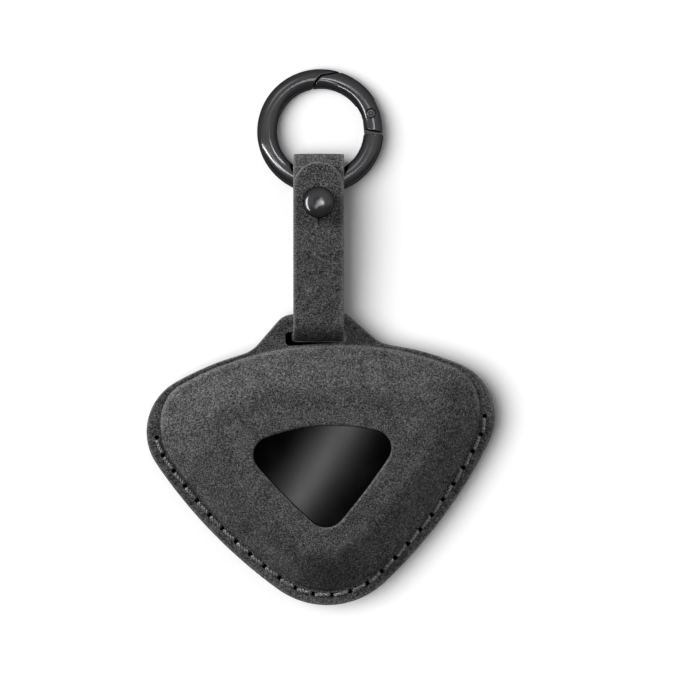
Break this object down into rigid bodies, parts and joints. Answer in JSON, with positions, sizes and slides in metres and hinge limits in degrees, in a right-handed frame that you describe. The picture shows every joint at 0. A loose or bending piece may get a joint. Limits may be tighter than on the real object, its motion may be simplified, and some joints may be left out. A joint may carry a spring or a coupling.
{
  "type": "car key fob cover",
  "caption": "Triangular moulded suede pouch that holds a car key fob behind a window, with a buttoned strap loop and a spring-gate key ring.",
  "frame": {"origin": "on the flat back of the pouch, on its centre line, level with the middle of the fob", "axes": "+Z out of the front panel, +Y from the tip of the pouch towards the ring, +X to the right of the front panel"},
  "size_m": [0.0824, 0.1272, 0.0142],
  "materials": {
    "suede": "dark grey suede, short nap",
    "strap_suede": "dark grey suede strip, cut edges",
    "lining": "dark knitted lining",
    "thread": "grey twisted sewing thread",
    "fob_shell": "satin black plastic",
    "fob_face": "piano black gloss",
    "gunmetal": "polished gunmetal plating",
    "spring_steel": "drawn spring wire"
  },
  "bodies": {
    "pouch": {"back_panel": "suede", "front_panel": "suede", "back_lining": "lining", "front_lining": "lining", "back_seam_thread": "thread", "front_seam_thread": "thread", "fob_rear_shell": "fob_shell", "fob_front_shell": "fob_shell", "fob_face_plate": "fob_face"},
    "strap_loop": {"strap": "strap_suede", "stud_head": "gunmetal", "stud_screw": "gunmetal"},
    "ring": {"ring_body": "gunmetal", "gate_pin": "gunmetal", "gate_spring": "spring_steel"},
    "gate": {"ring_gate": "gunmetal"}
  },
  "joints": [
    {"name": "strap_swing", "type": "hinge", "parent": "pouch", "child": "strap_loop", "pos_m": [0.00115, 0.03442, 0.005], "axis": [0.9979, -0.0654, 0], "range_deg": [-90, 90]},
    {"name": "ring_swing", "type": "hinge", "parent": "strap_loop", "child": "ring", "pos_m": [0.00369, 0.06783, 0.005], "axis": [0.9979, -0.0654, 0], "range_deg": [-75, 85]},
    {"name": "gate_open", "type": "hinge", "parent": "ring", "child": "gate", "pos_m": [0.01667, 0.08246, 0.00307], "axis": [0.0081, 0.1235, 0.9923], "range_deg": [0, 30], "stiffness_Nm_per_rad": 0.08, "springref_deg": -11.46, "deforming": ["gate_spring"]}
  ]
}
